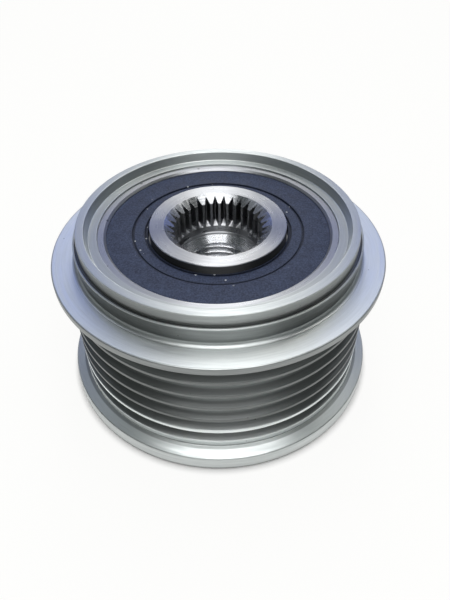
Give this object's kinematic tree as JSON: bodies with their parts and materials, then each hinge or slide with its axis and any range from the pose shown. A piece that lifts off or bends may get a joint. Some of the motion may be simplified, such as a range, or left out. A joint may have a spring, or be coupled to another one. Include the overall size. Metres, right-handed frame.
{
  "type": "overrunning alternator pulley",
  "caption": "Ribbed belt pulley on a threaded hub, with ball bearings, a one-way roller clutch and a serrated tool socket.",
  "frame": {"origin": "centre of the hub's back face, which seats on the shaft's shoulder and on which the part stands", "axes": "+Z along the pulley's axis, from the hub's back face to the nose with the tool socket"},
  "size_m": [0.066, 0.066, 0.0367],
  "materials": {
    "turned_steel": "satin, finely turned",
    "hub_steel": "ground and polished",
    "bearing_steel": "ground",
    "rolling_steel": "lapped",
    "spring_steel": "rolled",
    "cage_plastic": "moulded, glass filled",
    "seal_rubber": "moulded, matt"
  },
  "bodies": {
    "hub": {"hub": "hub_steel", "front_bearing_inner_ring": "bearing_steel", "rear_bearing_inner_ring": "bearing_steel", "clutch_cam": "bearing_steel", "clutch_cage": "cage_plastic", "clutch_roller_01": "rolling_steel", "clutch_roller_02": "rolling_steel", "clutch_roller_03": "rolling_steel", "clutch_roller_04": "rolling_steel", "clutch_roller_05": "rolling_steel", "clutch_roller_06": "rolling_steel", "clutch_roller_07": "rolling_steel", "clutch_roller_08": "rolling_steel", "clutch_roller_09": "rolling_steel", "clutch_roller_10": "rolling_steel", "clutch_spring_01": "spring_steel", "clutch_spring_02": "spring_steel", "clutch_spring_03": "spring_steel", "clutch_spring_04": "spring_steel", "clutch_spring_05": "spring_steel", "clutch_spring_06": "spring_steel", "clutch_spring_07": "spring_steel", "clutch_spring_08": "spring_steel", "clutch_spring_09": "spring_steel", "clutch_spring_10": "spring_steel"},
    "pulley": {"pulley_ring": "turned_steel", "front_bearing_outer_ring": "bearing_steel", "rear_bearing_outer_ring": "bearing_steel", "clutch_outer_race": "bearing_steel", "front_seal": "seal_rubber", "rear_seal": "seal_rubber"},
    "front_ball_set": {"front_ball_cage": "cage_plastic", "front_ball_01": "rolling_steel", "front_ball_02": "rolling_steel", "front_ball_03": "rolling_steel", "front_ball_04": "rolling_steel", "front_ball_05": "rolling_steel", "front_ball_06": "rolling_steel", "front_ball_07": "rolling_steel", "front_ball_08": "rolling_steel", "front_ball_09": "rolling_steel", "front_ball_10": "rolling_steel"},
    "rear_ball_set": {"rear_ball_cage": "cage_plastic", "rear_ball_01": "rolling_steel", "rear_ball_02": "rolling_steel", "rear_ball_03": "rolling_steel", "rear_ball_04": "rolling_steel", "rear_ball_05": "rolling_steel", "rear_ball_06": "rolling_steel", "rear_ball_07": "rolling_steel", "rear_ball_08": "rolling_steel", "rear_ball_09": "rolling_steel", "rear_ball_10": "rolling_steel"}
  },
  "joints": [
    {"name": "pulley_spin", "type": "hinge", "parent": "hub", "child": "pulley", "pos_m": [0, 0, 0.01797], "axis": [0, 0, 1], "continuous": true},
    {"name": "front_balls_orbit", "type": "hinge", "parent": "hub", "child": "front_ball_set", "pos_m": [0, 0, 0.02732], "axis": [0, 0, 1], "continuous": true},
    {"name": "rear_balls_orbit", "type": "hinge", "parent": "hub", "child": "rear_ball_set", "pos_m": [0, 0, 0.00862], "axis": [0, 0, 1], "continuous": true}
  ],
  "couplings": [
    {"joint": "front_balls_orbit", "follows": "pulley_spin", "ratio": 0.61025},
    {"joint": "rear_balls_orbit", "follows": "pulley_spin", "ratio": 0.61025}
  ]
}
